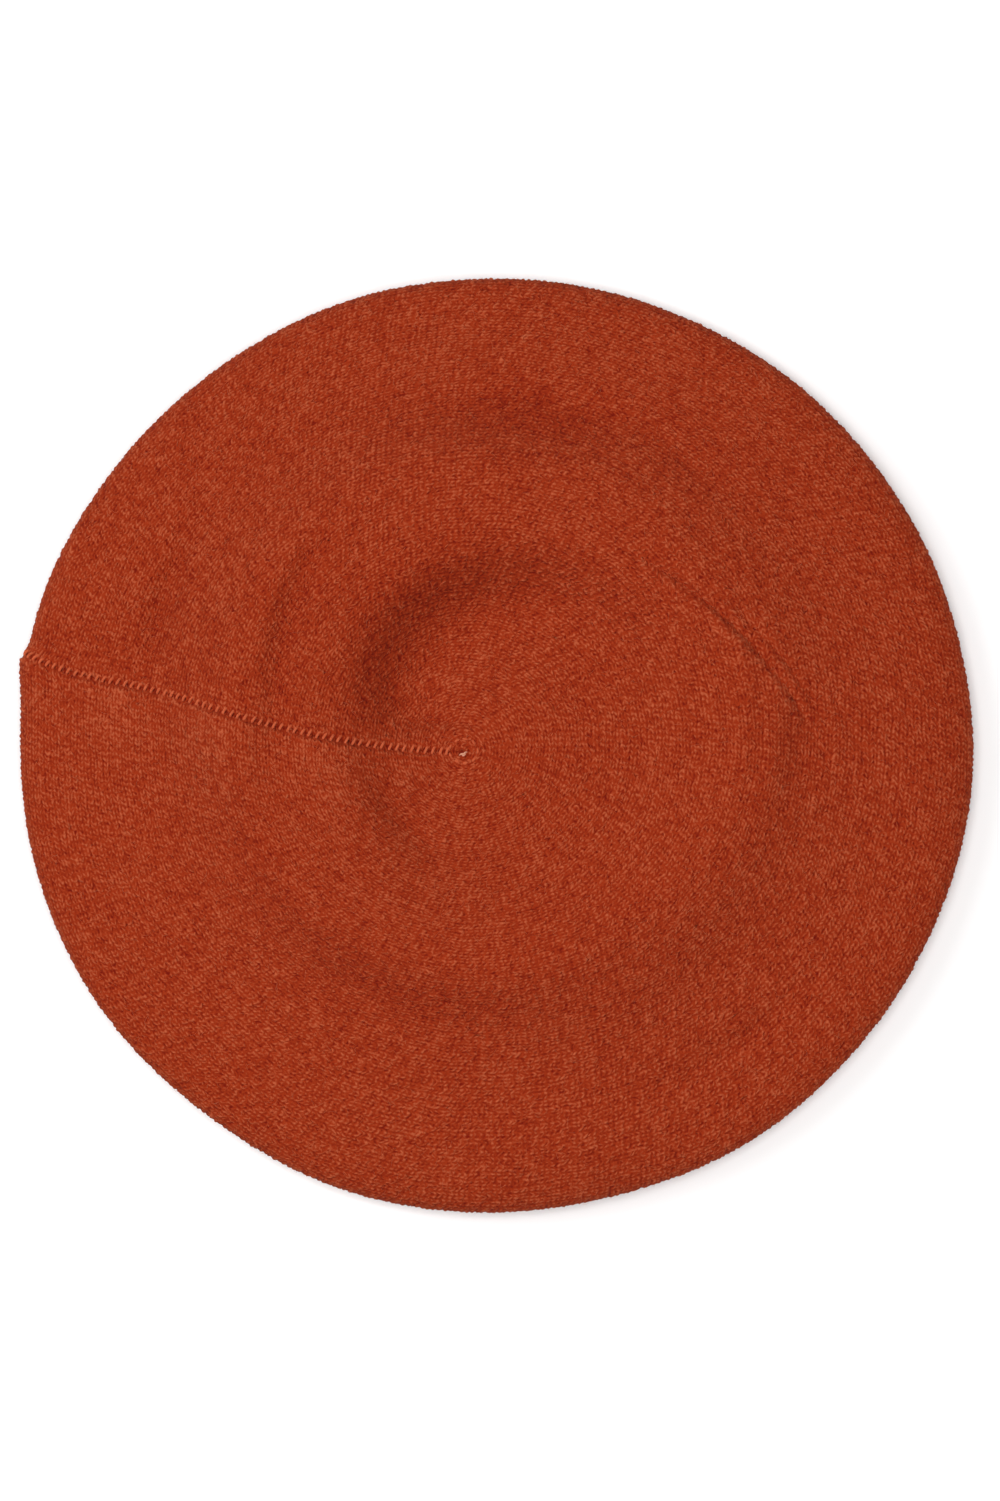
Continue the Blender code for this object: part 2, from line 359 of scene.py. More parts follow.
def dip_wall(x, y):
    """(distance from the dip's middle, radius of its wall there, how steep the wall is, 0 to 1)."""
    dx, dy = x - DIP_CENTRE[0], y - DIP_CENTRE[1]
    bearing = np.arctan2(dy, dx)
    off_steepest = np.angle(np.exp(1j * (bearing - DIP_STEEPEST)))
    steep = (0.5 + 0.5 * np.cos(off_steepest)) ** 1.2
    steep = steep * (1 - 0.70 * ease((off_steepest - radians(44)) / radians(14)))
    tucked = hump(np.angle(np.exp(1j * (bearing - DIP_TUCKED))) / radians(30))
    return np.hypot(dx, dy), DIP_RADIUS - 0.0060 * steep - 0.0095 * tucked, steep


def sunken_middle(x, y):
    """The unsupported middle: a steep wall on one side and a long slope on the other."""
    away, edge, steep = dip_wall(x, y)
    trough = 0.0064 * steep * ease(away / 0.036)
    return -(DIP_DEPTH + trough) / (1 + np.exp((away - edge) / (0.0074 - 0.0030 * steep)))


def ridge_over_band(x, y):
    """The fabric stands a little higher where the top of the headband lifts it."""
    bearing = np.arctan2(y, x)
    height = 0.0017 - 0.0008 * np.cos(bearing) + 0.0002 * np.cos(3 * bearing)
    return height * hump((np.hypot(x, y) - 0.079) / 0.0105)


# Creases that follow part of a circle: its centre and radius, the bearing and half the reach in degrees,
# then depth and width.
CREASES = (
    ((0.000, 0.000), 0.068, 20, 34, 0.0007, 0.0026),
    ((-0.022, -0.067), 0.1326, 46, 17, 0.0017, 0.0013),
    ((-0.022, -0.067), 0.1370, 40, 9, 0.0006, 0.0011),
    ((0.000, 0.000), 0.083, 206, 13, 0.0016, 0.0080),
    ((0.010, 0.005), 0.051, 221, 16, 0.0022, 0.0045),
    ((-0.004, 0.004), 0.083, 8, 40, 0.0008, 0.0032),
    ((0.000, -0.004), 0.044, -8, 30, 0.0006, 0.0024),
    ((0.000, -0.006), 0.098, 85, 13, 0.0056, 0.0090),
    ((0.000, 0.000), 0.096, 58, 14, 0.0012, 0.0060),
    ((0.000, -0.002), 0.084, 248, 24, 0.0034, 0.0085),
    ((0.000, -0.004), 0.078, 294, 15, 0.0015, 0.0070),
    ((0.000, 0.000), 0.091, -5, 9, 0.0014, 0.0060),
    ((-0.037, -0.082), 0.150, 47, 9, -0.0013, 0.0040),
    ((0.004, 0.004), 0.118, -54, 13, 0.0013, 0.0036),
    ((0.060, -0.001), 0.125, 166, 12, 0.0038, 0.0042),
    ((0.049, 0.000), 0.152, 166, 7, 0.0034, 0.0042),
    ((-0.010, -0.010), 0.060, 205, 26, 0.0010, 0.0030),
    ((-0.010, -0.010), 0.120, 215, 14, 0.0007, 0.0040),
)


def ring_crease(x, y, centre, radius, where, reach, depth, width):
    """A shallow crease along part of a circle. where and reach are in degrees."""
    dx, dy = x - centre[0], y - centre[1]
    turn = np.angle(np.exp(1j * (np.arctan2(dy, dx) - radians(where))))
    return -depth * hump((np.hypot(dx, dy) - radius) / width) * hump(turn / radians(reach))


def creases(x, y):
    """All the creases together, before their depth is limited."""
    return sum(ring_crease(x, y, *crease) for crease in CREASES)


def drape(x, y):
    """Everything that keeps the crown from being a plain turned shape."""
    radius = np.hypot(x, y)
    angle = np.arctan2(y, x)
    brim = ease((radius - 0.06) / 0.04) * ease((RIM - radius) / 0.02)
    waves = 0.00055 * np.sin(3 * angle + 0.6) + 0.0004 * np.sin(5 * angle + 2.1)
    waves = waves + 0.00025 * np.sin(9 * angle + 60 * radius)
    height = sunken_middle(x, y) + ridge_over_band(x, y) + brim * waves
    return height + CREASE_LIMIT * np.tanh(creases(x, y) / CREASE_LIMIT)


def seam_side(along, across):
    """Puckers beside the radial seam: puffed on the front side of it and pulled in on the other."""
    beat = 0.5 + 0.5 * np.cos(2 * pi * (along - 0.042) / 0.0345)
    fade = ease(along / 0.03) * ease((0.15 - along) / 0.02)
    below = np.where(across > 0, across, 0.0)
    above = np.where(across < 0, -across, 0.0)
    puff = 0.0021 * (below / 0.008) * np.exp(1 - below / 0.008) * (0.35 + 0.65 * beat)
    pull = -0.0007 * (above / 0.005) * np.exp(1 - above / 0.005) * (0.4 + 0.6 * beat)
    return fade * (puff + pull)


def profile():
    """(length along the fabric, radius, height) from the centre over the rim to the head opening."""
    radius = RIM * (1 - np.linspace(1, 0, 2500) ** 3)
    top = np.stack([radius, crown_height(radius, 0 * radius)], 1)
    quarter = np.linspace(0, pi / 2, 200)[1:-1]
    rim_x = UNDER_RADIUS + (RIM - UNDER_RADIUS) * np.cos(quarter)
    rim_z = RIM_HEIGHT - (RIM_HEIGHT - UNDER_HEIGHT) * np.sin(quarter)
    inward = np.linspace(UNDER_RADIUS, MOUTH, 600)
    along = (UNDER_RADIUS - inward) / (UNDER_RADIUS - MOUTH)
    under_z = UNDER_HEIGHT + (MOUTH_HEIGHT - UNDER_HEIGHT) * ease(along)
    points = np.concatenate([top, np.stack([rim_x, rim_z], 1), np.stack([inward, under_z], 1)])
    steps = np.hypot(*np.diff(points, axis=0).T)
    return np.concatenate([[0], np.cumsum(steps)]), points[:, 0], points[:, 1], len(top) - 1


LENGTHS, RADII, HEIGHTS, RIM_INDEX = profile()
RIM_LENGTH, FULL_LENGTH = LENGTHS[RIM_INDEX], LENGTHS[-1]


def seam_bearing(share):
    """Direction of the radial seam from the centre of the ring at this share of the way to the rim."""
    return np.arctan2((POLE[1] + SEAM_RISE * share ** (SEAM_POWER - 1)) / OVAL, POLE[0] - SEAM_RUN)


def outline(bearing):
    """The rim's small departures from the oval, as a share of its radius."""
    off_seam = np.angle(np.exp(1j * (bearing - seam_bearing(1.0))))
    fold = 0.0125 * hump((off_seam - 0.020) / np.where(off_seam > 0.020, 0.065, 0.024))
    lobes = 0.0025 * np.cos(bearing + 1.15) + 0.0010 * np.cos(2 * bearing - 0.5)
    lobes = lobes + 0.0009 * np.cos(3 * bearing + 0.9) + 0.0009 * np.cos(4 * bearing + 0.2)
    lobes = lobes + 0.0020 * np.cos(7 * bearing) + 0.0011 * np.cos(8 * bearing + 2.15)
    fold = fold + 0.003 * hump(off_seam / 0.35)
    return fold - 0.001 + lobes + 0.0007 * np.cos(13 * bearing + 0.8)


def plan(length, turn):
    """(x, y) of a point of the fabric before the middle settles, with the radius of its ring."""
    length, turn = np.broadcast_arrays(length, turn)
    radius = np.interp(length, LENGTHS, RADII)
    share = np.where(length < RIM_LENGTH, radius / RIM, 1.0)
    bearing = seam_bearing(share) + 2 * pi * turn
    x = POLE[0] * (1 - share) + radius * np.cos(bearing)
    y = POLE[1] * (1 - share) + radius * OVAL * np.sin(bearing)
    return x, y, radius


def beside_seam(radius, turn):
    """The puckers of seam_side, at a place given by its ring and turn."""
    across = radius * 2 * pi * np.where(turn > 0.5, turn - 1, turn)
    return seam_side(radius, across)


def surface(length, turn):
    """The middle of the fabric. length runs from the centre to the head opening and turn, 0 to 1, once
    round from the radial seam."""
    length, turn = np.broadcast_arrays(length, turn)
    x, y, radius = plan(length, turn)
    top = crown_height(x, y) + drape(x, y) + beside_seam(radius, turn)
    below = np.interp(length, LENGTHS, HEIGHTS)
    sag = 0.0007 * np.sin(8 * pi * turn + 1.0) * hump((length - 0.172) / 0.014)
    height = np.where(length < RIM_LENGTH, top, below + sag)
    near_rim = ease((radius - SETTLE_FROM) / (RIM - SETTLE_FROM))
    swell = 1 + outline(np.arctan2(y, x)) * near_rim
    x, y = settle(x * swell, y * swell)
    return np.stack([x, y, height], -1)


def painted_shade_depth(length, turn):
    """Depth of the creases and of the dip's steep wall, less the height of the puffs beside the seam, where
    they can be seen: the yarn gets painted shade there, and a painted highlight on the puffs.
    """
    x, y, radius = plan(length, turn)
    away, edge, steep = dip_wall(x, y)
    # painted shade on the dip's steep wall, which faces away from the light
    wall = 0.0052 * steep**4 * hump((away - edge) / 0.0115)
    depth = wall - creases(x, y) - 1.3 * beside_seam(radius, turn)
    return np.where(length < RIM_LENGTH, depth, 0.0)


def surface_normal(length, turn):
    """Unit direction out of the fabric, away from its hidden side."""
    step = 0.0006
    further, nearer = np.minimum(length + step, FULL_LENGTH), np.maximum(length - step, 0.0001)
    out = surface(further, turn) - surface(nearer, turn)
    swing = step / (2 * pi * np.maximum(np.interp(length, LENGTHS, RADII), 0.001))
    round_ = surface(length, turn + swing) - surface(length, turn - swing)
    normal = np.cross(out, round_)
    return normal / np.maximum(np.linalg.norm(normal, axis=-1, keepdims=True), 1e-12)


def raised(length, turn, rise):
    """Points this far outside the middle of the fabric."""
    return surface(length, turn) + surface_normal(length, turn) * rise[:, None]


# ---------------------------------------------------------------- meshes built from rings


def strip(a, turns_a, b, turns_b):
    """Faces between two closed rings of vertex numbers, whose counts may differ."""
    if len(a) == len(b):
        return np.stack([a, b, np.roll(b, -1), np.roll(a, -1)], 1), None
    key_a = (turns_a + np.append(turns_a[1:], turns_a[0] + 1)) / 2
    key_b = (turns_b + np.append(turns_b[1:], turns_b[0] + 1)) / 2
    at_b = np.searchsorted(key_b, key_a, side="left") % len(b)
    at_a = np.searchsorted(key_a, key_b, side="right") % len(a)
    first = np.stack([a, b[at_b], np.roll(a, -1)], 1)
    second = np.stack([a[at_a], b, np.roll(b, -1)], 1)
    return None, np.concatenate([first, second])


class Rings:
    """Collects closed rings of points, each joined to the one before."""

    def __init__(self):
        self.points, self.quads, self.tris, self.lofts, self.tones = [], [], [], [], []
        self.count, self.last = 0, None

    def add(self, points, turns, loft, tone=0.5):
        """Adds a ring and joins it to the last one. turns says how far round each point lies, 0 to 1."""
        ids = np.arange(self.count, self.count + len(points))
        self.points.append(points)
        self.lofts.append(np.broadcast_to(loft, len(points)))
        self.tones.append(np.broadcast_to(tone, len(points)))
        self.count += len(points)
        if self.last is not None:
            quads, tris = strip(self.last[0], self.last[1], ids, turns)
            if quads is not None:
                self.quads.append(quads)
            else:
                self.tris.append(tris)
        self.last = ids, turns
        return ids

    def close(self, ring, point, loft, faces_up):
        """Fans a ring in to one point."""
        centre = np.full(len(ring), self.count)
        self.points.append(np.asarray(point)[None])
        self.lofts.append(np.array([loft]))
        self.tones.append(np.array([0.5]))
        self.count += 1
        following = np.roll(ring, -1)
        fan = (centre, ring, following) if faces_up else (ring, centre, following)
        self.tris.append(np.stack(fan, 1))

    def make(self, name, material, body, replaces):
        """The finished piece, with the height of its yarn and its tone, random dye with painted shade and
        highlight in it, stored for the material.
        """
        faces = [np.concatenate(f) for f in (self.quads, self.tris) if f]
        piece = new_object(name, np.concatenate(self.points), faces, material, body, replaces)
        set_values(piece, "loft", np.concatenate(self.lofts))
        set_values(piece, "tone", np.concatenate(self.tones))
        return piece


def wale_edges():
    """Length along the fabric at which each column of stitches starts, the columns widening outwards."""
    over = np.arange(WALES_OVER + 1) / WALES_OVER
    over = RIM_LENGTH * (np.exp(WIDENING * over) - 1) / (np.exp(WIDENING) - 1)
    under = RIM_LENGTH + (FULL_LENGTH - RIM_LENGTH) * np.arange(1, WALES_UNDER + 1) / WALES_UNDER
    return np.concatenate([over, under])


def lumps(x, y, cell):
    """Smooth random lumps about one cell across, spread round zero."""
    gx, gy = x / cell, y / cell
    i, j = np.floor(gx).astype(int), np.floor(gy).astype(int)
    u, v = ease(gx - i), ease(gy - j)

    def corner(a, b):
        return LATTICE[(i + a) % LATTICE.shape[0], (j + b) % LATTICE.shape[1]]

    near = corner(0, 0) * (1 - u) + corner(1, 0) * u
    return near * (1 - v) + (corner(0, 1) * (1 - u) + corner(1, 1) * u) * v


class Unevenness:
    """Random values round a column of stitches, each column partly like the one before."""

    def __init__(self, likeness, spacing=1.0):
        self.likeness, self.spacing, self.before = likeness, spacing, None

    def next(self, stitches):
        """The values of the next column."""
        fresh = rng.normal(0.0, 1.0, max(5, round(stitches / self.spacing)))
        if self.before is not None:
            old = np.interp(
                np.arange(len(fresh)) / len(fresh),
                np.arange(len(self.before)) / len(self.before),
                self.before,
                period=1.0,
            )
            fresh = self.likeness * old + np.sqrt(1 - self.likeness**2) * fresh
        self.before = fresh
        return fresh

    @staticmethod
    def at(values, turns):
        """A column's values at these turns round it."""
        return np.interp(turns % 1.0, np.arange(len(values)) / len(values), values, period=1.0)


def stitch_loft(row, phase):
    """Height of the yarn: two slanted legs for each stitch, meeting in pits between the loops."""
    arch = np.sin(pi * (phase + 0.125))
    if row == 0:
        return 0.22 + 0.42 * arch
    if row == 2:
        return 0.64 - 0.32 * arch
    return 0.36 + 0.62 * arch


def stitch_row(row, stitches, fineness, lean, shift):
    """(stitch number, place in the stitch, turn round the beret) of the points of one ring of a column."""
    step = np.arange(stitches * fineness)
    stitch = step // fineness
    phase = (step % fineness) / fineness
    outward = abs(2 * row / ROWS_PER_WALE - 1)
    leaning = CHEVRON * (outward - 0.5) * lean[stitch]
    turns = (stitch + phase + leaning + shift[stitch] * np.sin(pi * phase)) / stitches
    return stitch, phase, np.sort(turns)


def seam_groove(start, around, turns):
    """(depth of the valley along the radial seam, height of the fabric rolled up beside it)."""
    across = around * (turns - np.round(turns)) - 0.0002
    beat = 0.5 + 0.5 * np.cos(2 * pi * start / SEAM_PITCH)
    valley = SEAM_PULL * hump(across / 0.00085)
    roll = SEAM_ROLL * hump((np.abs(across) - 0.0021) / 0.0010) * (0.5 + 0.5 * beat)
    return valley, roll


def stitches_round(length):
    """(distance round the beret, number of stitches in it) at this length along the fabric."""
    around = 2 * pi * np.interp(length, LENGTHS, RADII)
    return around, GORES * max(1, round(around / COURSE / GORES))


def outer_skin(rings):
    """The knit side, column by column from the centre to the head opening. Returns its first ring, and the
    number of points over the rim."""
    edges = wale_edges()
    plumpness, wander, dye = Unevenness(0.08), Unevenness(0.70, 3.0), Unevenness(0.15)
    drift_before = wander.next(60)
    for wale, (start, end) in enumerate(zip(edges[:-1], edges[1:])):
        around, stitches = stitches_round((start + end) / 2)
        fineness = 4 if wale < WALES_OVER + 3 else 3
        plump, tone, drift = plumpness.next(stitches), dye.next(stitches), wander.next(stitches)
        loop_shift = rng.normal(0.0, 0.20, stitches)
        nudge = rng.normal(0.0, NUDGE, stitches)
        loop_lean = rng.normal(1.0, 0.22, stitches)
        settled = ease(wale / 6) * ease((len(edges) - 2 - wale) / 4)
        for row in range(ROWS_PER_WALE):
            part = row / ROWS_PER_WALE
            stitch, phase, turns = stitch_row(row, stitches, fineness, loop_lean, loop_shift)
            stray = (1 - part) * wander.at(drift_before, turns) + part * wander.at(drift, turns)
            length = start + part * (end - start) + WANDER * settled * stray
            length = np.clip(length + settled * Unevenness.at(nudge, turns), 0.0006, FULL_LENGTH)
            middle = surface(length, turns)
            x, y = middle[:, 0], middle[:, 1]
            loft = stitch_loft(row, phase) * (1 + 0.06 * np.clip(plump[stitch], -1.5, 1.5))
            loft = loft + 0.16 * lumps(x, y, 0.0005) + 0.06 * lumps(x, y, 0.0009)
            valley, roll = seam_groove(start, around, turns)
            offset = KNIT / 2 - RELIEF * (1 - loft) - valley + roll
            points = middle + surface_normal(length, turns) * offset[:, None]
            # The tone is random dye from stitch to stitch, with painted shade in the creases and on the dip's
            # steep wall and a painted highlight on the puffs beside the seam. Lowering the loft in the seam's
            # valley paints shade there too.
            shade = 0.5 + 0.06 * tone[stitch] - CREASE_SHADE * painted_shade_depth(length, turns % 1.0)
            ids = rings.add(points, turns, np.clip(loft - SEAM_SHADE * valley, -0.2, 1.4), shade)
            if wale == 0 and row == 0:
                first = ids
        drift_before = drift
        if wale == WALES_OVER - 1:
            over_rim = rings.count
    return first, over_rim


def knitted_body(material):
    """The crown, rim fold and underside: both sides of one closed fabric."""
    rings = Rings()
    first, over_rim = outer_skin(rings)
    rings.close(first, surface(0.0003, 0.0) + np.array([0, 0, KNIT / 2 - RELIEF]), 0.1, True)
    outside = rings.count
    discs = [over_rim, outside, inner_skin(rings)]
    piece = rings.make("beret_body", material, "beret", ["knitted_body"])
    lay_out_discs(piece, np.searchsorted(discs, np.arange(rings.count), side="right"))


def inner_skin(rings):
    """The hidden side of the fabric, with its rows of purl bumps, from the head opening back to the centre.
    Returns the number of points when it has reached the rim."""
    count = 900
    turns = np.arange(count) / count
    lip = surface(FULL_LENGTH, turns)
    inward = np.array([0, SETTLE, 0]) - lip
    inward[:, 2] = 0
    inward /= np.linalg.norm(inward, axis=1, keepdims=True)
    for height in (-0.25, 0.25):
        rings.add(lip + 0.0002 * inward + np.array([0, 0, height * KNIT]), turns, 0.4)
    edges = wale_edges()
    for wale in range(len(edges) - 2, -1, -1):
        start, end = edges[wale], edges[wale + 1]
        middle = (start + end) / 2
        _, stitches = stitches_round(middle)
        uneven = rng.normal(1.0, 0.12, stitches)
        fineness = 4 if middle < INSIDE_SEEN else 1
        for row in (1, 0):
            step = np.arange(stitches * fineness)
            turns = (step + 0.25) / len(step)
            swing = np.cos(2 * pi * (turns * stitches + 0.5 * row))
            bump = (0.5 + 0.5 * swing * (fineness > 1)) * uneven[step // fineness]
            length = np.full(len(step), start + (0.25 + 0.5 * row) * (end - start))
            points = raised(length, turns, PURL_DEPTH * (1 - bump) - KNIT / 2)
            last = rings.add(points, turns, 0.30 + 0.55 * bump)
        if wale == WALES_OVER:
            under = rings.count
    rings.close(last, surface(0.0003, 0.0) - np.array([0, 0, KNIT / 2]), 0.3, False)
    return under


# ---------------------------------------------------------------- threads


def untwisted(path):
    """(direction of a path at each point, two directions across it there that don't twist along it)."""
    run = np.gradient(path, axis=0)
    run /= np.linalg.norm(run, axis=1, keepdims=True)
    up = np.array([0.0, 0.0, 1.0]) if abs(run[0, 2]) < 0.9 else np.array([1.0, 0.0, 0.0])
    side = np.cross(run[0], up)
    across = []
    for direction in run:
        side = side - direction * np.dot(side, direction)
        side /= np.linalg.norm(side)
        across.append((side, np.cross(direction, side)))
    return run, across


def tubes(paths, radius, sides):
    """Round tubes with closed ends: one array of points for each path. Returns vertices, quads and tris."""
    points, quads, tris, count = [], [], [], 0
    a = 2 * pi * np.arange(sides) / sides
    for path in paths:
        run, across = untwisted(path)
        widths = np.full(len(path), radius)
        widths[[0, -1]] *= 0.55
        for middle, width, (first, second) in zip(path, widths, across):
            points.append(middle + width * (np.cos(a)[:, None] * first + np.sin(a)[:, None] * second))
        points.append(np.stack([path[0] - run[0] * radius * 0.5, path[-1] + run[-1] * radius * 0.5]))
        tip = count + len(path) * sides
        ids = np.arange(count, tip).reshape(-1, sides)
        low, high = ids[:-1], ids[1:]
        quads.append(np.stack([low, np.roll(low, -1, 1), np.roll(high, -1, 1), high], -1).reshape(-1, 4))
        start, end = ids[0], ids[-1]
        tris.append(np.stack([np.roll(start, -1), start, np.full(sides, tip)], 1))
        tris.append(np.stack([end, np.roll(end, -1), np.full(sides, tip + 1)], 1))
        count = tip + 2
    return np.concatenate(points), np.concatenate(quads), np.concatenate(tris)


def thread_piece(name, paths, radius, material, replaces, sides=8):
    """One piece for all the stitches of a seam, sewn to the beret."""
    vertices, quads, tris = tubes(paths, radius, sides)
    piece = new_object(name, vertices, [quads, tris], material, "beret", replaces)
    set_values(piece, "loft", np.full(len(vertices), 0.8))
    set_values(piece, "tone", np.full(len(vertices), 0.5))


def fibre_paths(count):
    """(points along each fibre, the directions across it): short curls that start and end on the knit."""
    radius = RIM * np.sqrt(rng.uniform(0.0, 1.0, count))
    length = np.interp(radius, RADII[: RIM_INDEX + 1], LENGTHS[: RIM_INDEX + 1])
    under = rng.uniform(0, 1, count) < 0.22
    length = np.where(under, RIM_LENGTH + rng.uniform(0.0, 0.045, count), np.maximum(length, 0.004))
    turn = rng.uniform(0.0, 1.0, count)
    normal = surface_normal(length, turn)
    foot = surface(length, turn) + normal * (KNIT / 2 - 0.0003)
    lie = np.cross(normal, rng.normal(0, 1, (count, 3)))
    lie /= np.linalg.norm(lie, axis=1, keepdims=True)
    bend = np.cross(normal, lie)
    reach = rng.uniform(0.0008, 0.0026, count)
    curl = rng.normal(0.0, 0.45, count)
    lift = rng.uniform(0.0003, 0.0007, count)
    t = np.linspace(0, 1, 5)[None, :, None]
    path = foot[:, None] + lie[:, None] * (t * reach[:, None, None])
    path = path + bend[:, None] * (t**2 * (curl * reach)[:, None, None])
    return path + normal[:, None] * (np.sin(2.6 * t) * lift[:, None, None]), normal, bend


def surface_fuzz(material, count=7000):
    """Loose fibre ends standing a little off the knit, each a thin three-sided tube."""
    path, normal, bend = fibre_paths(count)
    thick = 0.000030 * np.array([1.0, 1.0, 0.9, 0.8, 0.5])[None, :, None, None]
    a = 2 * pi * np.arange(3) / 3
    ring = np.cos(a)[None, :, None] * normal[:, None] + np.sin(a)[None, :, None] * bend[:, None]
    points = path[:, :, None] + thick * ring[:, None]
    ids = np.arange(count * 15).reshape(count, 5, 3)
    low, high = ids[:, :-1], ids[:, 1:]
    quads = np.stack([low, high, np.roll(high, -1, 2), np.roll(low, -1, 2)], -1).reshape(-1, 4)
    tris = np.concatenate([ids[:, 0], ids[:, -1, ::-1]])
    piece = new_object("surface_fuzz", points.reshape(-1, 3), [quads, tris], material, "beret")
    vertex, first = corners(piece)
    lay_out(piece, 0.1 + 0.8 * (vertex % 3 != first % 3), 0.1 + 0.8 * (vertex // 3 != first // 3))


def seam_stitches(material):
    """The linking chain along the radial seam: slanted loops lying over the joint."""
    paths = []
    for k in range(int((FULL_LENGTH - 0.008) / SEAM_PITCH)):
        length = 0.004 + k * SEAM_PITCH
        around = 2 * pi * float(np.interp(length, LENGTHS, RADII))
        t = np.linspace(0, 1, 9)
        across = -0.0015 + 0.0024 * t
        lengths = length + 0.0012 * t + rng.normal(0, 0.0001)
        rise = KNIT / 2 - 0.00085 + 0.00060 * np.sin(pi * t) ** 0.8
        turns = (across + rng.normal(0, 0.00008)) / around
        paths.append(raised(lengths, turns, rise))
    thread_piece("seam_stitches", paths, 0.00042, material, ["radial_seam_thread"])


def gather_stitches(material, count=9):
    """Running stitches round the knitted centre."""
    paths = []
    for k in range(count):
        t = np.linspace(0, 1, 8)
        turns = (k + 0.12 + 0.62 * t) / count
        lengths = 0.0040 + 0.0004 * np.sin(5.1 * k) + 0 * t
        rise = KNIT / 2 - 0.0009 + 0.0006 * np.sin(pi * t) ** 0.7
        paths.append(raised(lengths, turns, rise))
    thread_piece("gather_stitches", paths, 0.00036, material, ["centre_gather_thread"])


def centre_knot(material):
    """An overhand knot at the knitted centre, with two short ends."""
    foot = surface(0.0009, 0.3) + np.array([0, 0, KNIT / 2 + 0.0001])
    a = np.linspace(0, 2 * pi, 60)
    x = np.sin(a) + 2 * np.sin(2 * a)
    y = np.cos(a) - 2 * np.cos(2 * a)
    z = -np.sin(3 * a)
    loop = foot + 0.00016 * np.stack([x * 1.3, y * 0.8, z * 0.8 + 1.0], 1)
    t = np.linspace(0, 1, 10)
    ends = []
    for bearing, reach in ((0.5, 0.0013), (3.4, 0.0012)):
        ends.append(foot + np.stack([
            reach * t * cos(bearing),
            reach * t * sin(bearing) + 0.0003 * np.sin(3 * t),
            0.0004 + 0.0003 * np.sin(pi * t) - 0.0004 * t,
        ], 1))
    thread_piece("centre_knot_yarn", [loop, *ends], 0.00020, material, ["centre_knot"])


# ---------------------------------------------------------------- the headband and what it holds


def band_outline():
    """(radius, height) of points down the band's outer leaf, round the fold and up its inner leaf."""
    low, high, corner = BAND_IN, BAND_OUT, 0.0016
    bend = np.linspace(0, pi / 2, 12)
    outer = np.stack([high - corner * (1 - np.cos(bend)), corner * (1 - np.sin(bend))], 1)
    inner = np.stack([low + corner * (1 - np.sin(bend)), corner * (1 - np.cos(bend))], 1)
    drop = np.linspace(BAND_TOP, corner, 62)[:-1]
    climb = np.linspace(corner, BAND_TOP, 62)[1:]
    under = np.linspace(high - corner, low + corner, 10)[1:-1]
    return np.concatenate([
        np.stack([0 * drop + high, drop], 1),
        outer,
        np.stack([under, 0 * under], 1),
        inner,
        np.stack([0 * climb + low, climb], 1),
    ])


def lay_out_quarters(piece, around, rings_in_all):
    """The band's four quarters, one above the other."""
    vertex, start = corners(piece)
    ring, column, origin = vertex // around, vertex % around, start % around
    column = np.where(column - origin > around / 2, column - around, column)
    column = np.where(origin - column > around / 2, column + around, column)
    quarter = origin * 4 // around
    lay_out(piece, column * 4 / around - quarter, (quarter + 0.98 * ring / rings_in_all) / 4)


def headband(material):
    """A one-by-one rib folded double, standing in the head opening."""
    path = band_outline()
    lengths = np.concatenate([[0], np.cumsum(np.hypot(*np.diff(path, axis=0).T))])
    around = RIBS * 10
    angle = 2 * pi * np.arange(around) / around
    across = np.abs((angle * RIBS / (2 * pi) + 0.5) % 1 - 0.5)
    rib = (0.5 + 0.5 * np.cos(RIBS * angle)) ** 0.8 * (1 - 0.30 * hump(across / 0.09))
    uneven = 0.00025 * np.sin(7 * angle + 0.4) + 0.0002 * np.sin(11 * angle + 2)
    turns = np.arange(around) / around
    rings = Rings()

    def put(radius, height, loft):
        rings.add(round_opening(radius, angle, height)[::-1], turns, loft[::-1])

    for (radius, height), (out_r, out_z), length in zip(path, beside(path), lengths):
        course = 0.5 + 0.5 * np.cos(2 * pi * (length / COURSE - 1.5 * across))
        loft = rib * (0.50 + 0.50 * course) + 0.10 * lumps(angle * BAND_OUT, length + 1.0, 0.0006)
        inset = -RIB_DEPTH * (1 - np.clip(loft, 0.0, 1.1))
        sway = uneven * ease(height / 0.01)
        put(radius + out_r * inset + sway, height + out_z * inset * (1 if height > 0.0004 else 0.5), loft)
    low, high = BAND_IN + KNIT, BAND_OUT - KNIT
    channel = [(low, BAND_TOP), (low, 0.008), (low, KNIT), (high, KNIT), (high, 0.008), (high, BAND_TOP)]
    for radius, height in channel:
        put(radius + uneven * ease(height / 0.01), np.full(around, height), np.full(around, 0.3))
    rings.quads.append(strip(rings.last[0], turns, np.arange(around), turns)[0])
    piece = rings.make("band_rib", material, "beret", ["headband"])
    lay_out_quarters(piece, around, rings.count // around)


def band_stitches(material):
    """The linked seam on top of the band, on the hidden side of the hat."""
    count = 236
    radius = (link_high.x + BAND_OUT) / 2 - 0.0002
    height = (link_low.z + link_high.z) / 2
    paths = []
    for k in range(count):
        t = np.linspace(0, 1, 7)
        angle = 2 * pi * (k + 0.75 * t) / count
        r = radius + 0.0009 * (t - 0.5) * 2
        z = height - 0.00045 + 0.00055 * np.sin(pi * t) + rng.normal(0, 0.00004)
        paths.append(round_opening(r, angle, z))
    thread_piece("linking_chain", paths, 0.0004, material, ["band_linking_thread"], 6)


